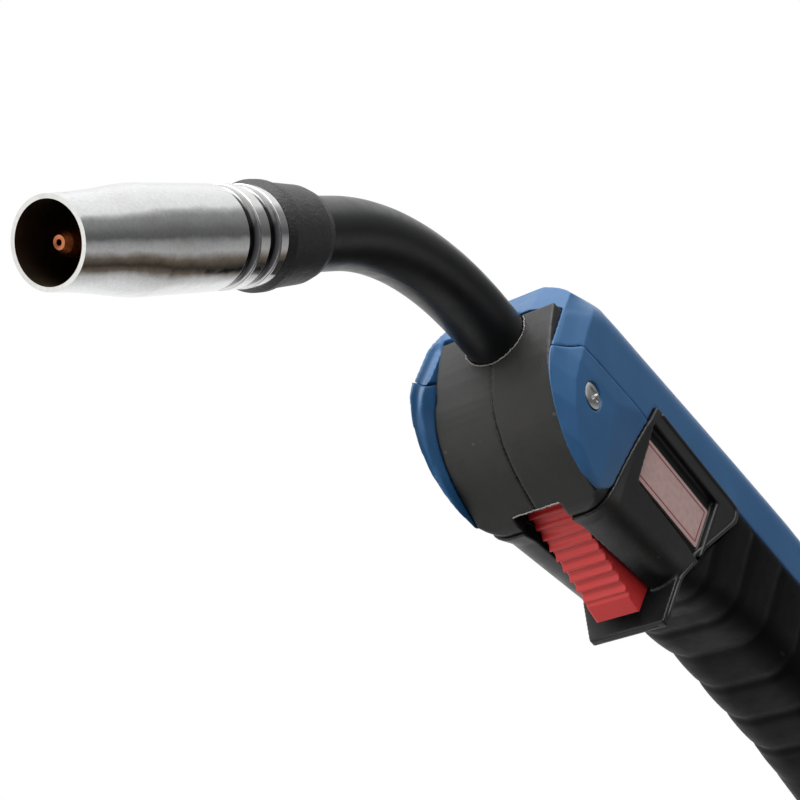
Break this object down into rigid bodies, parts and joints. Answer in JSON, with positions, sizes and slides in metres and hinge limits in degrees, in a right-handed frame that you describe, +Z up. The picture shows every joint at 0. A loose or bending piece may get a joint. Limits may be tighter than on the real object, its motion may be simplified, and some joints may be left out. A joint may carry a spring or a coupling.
{
  "type": "mig welding torch",
  "caption": "Hand-held MIG welding torch with a swan neck, gas nozzle, trigger handle and a ball-jointed cable inlet.",
  "frame": {"origin": "centre of the cable inlet's mouth at the back of the handle, on the cable's axis", "axes": "+X backwards out of the cable inlet along the handle, +Z up through the blue spine (the trigger is underneath), -Y the torch's left side"},
  "size_m": [0.3308, 0.038, 0.1152],
  "materials": {
    "chrome": "polished, slightly grainy",
    "copper": "turned copper",
    "brass": "turned brass",
    "spring_steel": "drawn wire",
    "zinc": "bright zinc",
    "phenolic": "matte, lightly textured",
    "neck_black": "satin sleeve",
    "body_black": "fine spark texture",
    "saddle_black": "satin",
    "grip_rubber": "soft matte rubber",
    "cover_blue": "satin moulded",
    "trigger_red": "semi-gloss moulded",
    "label": "printed foil, blank",
    "switch_black": "moulded",
    "plunger": "moulded",
    "lead_sheath": "insulated wire"
  },
  "bodies": {
    "handle": {"tip_holder": "brass", "nozzle_spring": "spring_steel", "neck_insulator": "phenolic", "neck_jacket": "neck_black", "neck_tube": "copper", "wire_liner": "spring_steel", "neck_nut": "brass", "neck_coupling": "brass", "body_left": "body_black", "body_right": "body_black", "top_cover": "cover_blue", "cheek_left": "cover_blue", "cheek_right": "cover_blue", "trigger_saddle": "saddle_black", "label_left": "label", "label_right": "label", "rubber_grip": "grip_rubber", "handle_screws": "zinc", "trigger_pin": "zinc", "trigger_spring": "spring_steel", "switch_case": "switch_black", "switch_pins": "zinc", "switch_leads": "lead_sheath", "lead_connectors": "lead_sheath", "ball_housing": "body_black", "rear_ring": "body_black"},
    "nozzle": {"gas_nozzle": "chrome"},
    "tip": {"contact_tip": "copper"},
    "trigger": {"trigger": "trigger_red"},
    "plunger": {"switch_plunger": "plunger"},
    "socket": {"socket_liner": "saddle_black"},
    "knuckle": {"ball_knuckle": "body_black"}
  },
  "joints": [
    {"name": "nozzle_pull", "type": "slide", "parent": "handle", "child": "nozzle", "axis": [-0.6782, 0, -0.7349], "range_m": [0, 0.06]},
    {"name": "tip_unscrew", "type": "slide", "parent": "handle", "child": "tip", "axis": [-0.6782, 0, -0.7349], "range_m": [0, 0.03]},
    {"name": "trigger_press", "type": "hinge", "parent": "handle", "child": "trigger", "pos_m": [-0.189, 0, -0.0305], "axis": [0, -1, 0], "range_deg": [0, 5], "stiffness_Nm_per_rad": 1, "springref_deg": -5.73, "deforming": ["trigger_spring"]},
    {"name": "plunger_press", "type": "slide", "parent": "handle", "child": "plunger", "axis": [0, 0, 1], "range_m": [0, 0.0024]},
    {"name": "socket_roll", "type": "hinge", "parent": "handle", "child": "socket", "pos_m": [-0.024, 0, 0], "axis": [1, 0, 0], "continuous": true},
    {"name": "knuckle_pitch", "type": "hinge", "parent": "socket", "child": "knuckle", "pos_m": [-0.024, 0, 0], "axis": [0, 1, 0], "range_deg": [-18, 18]}
  ],
  "couplings": [
    {"joint": "plunger_press", "follows": "trigger_press", "m_per_rad": 0.0195}
  ]
}
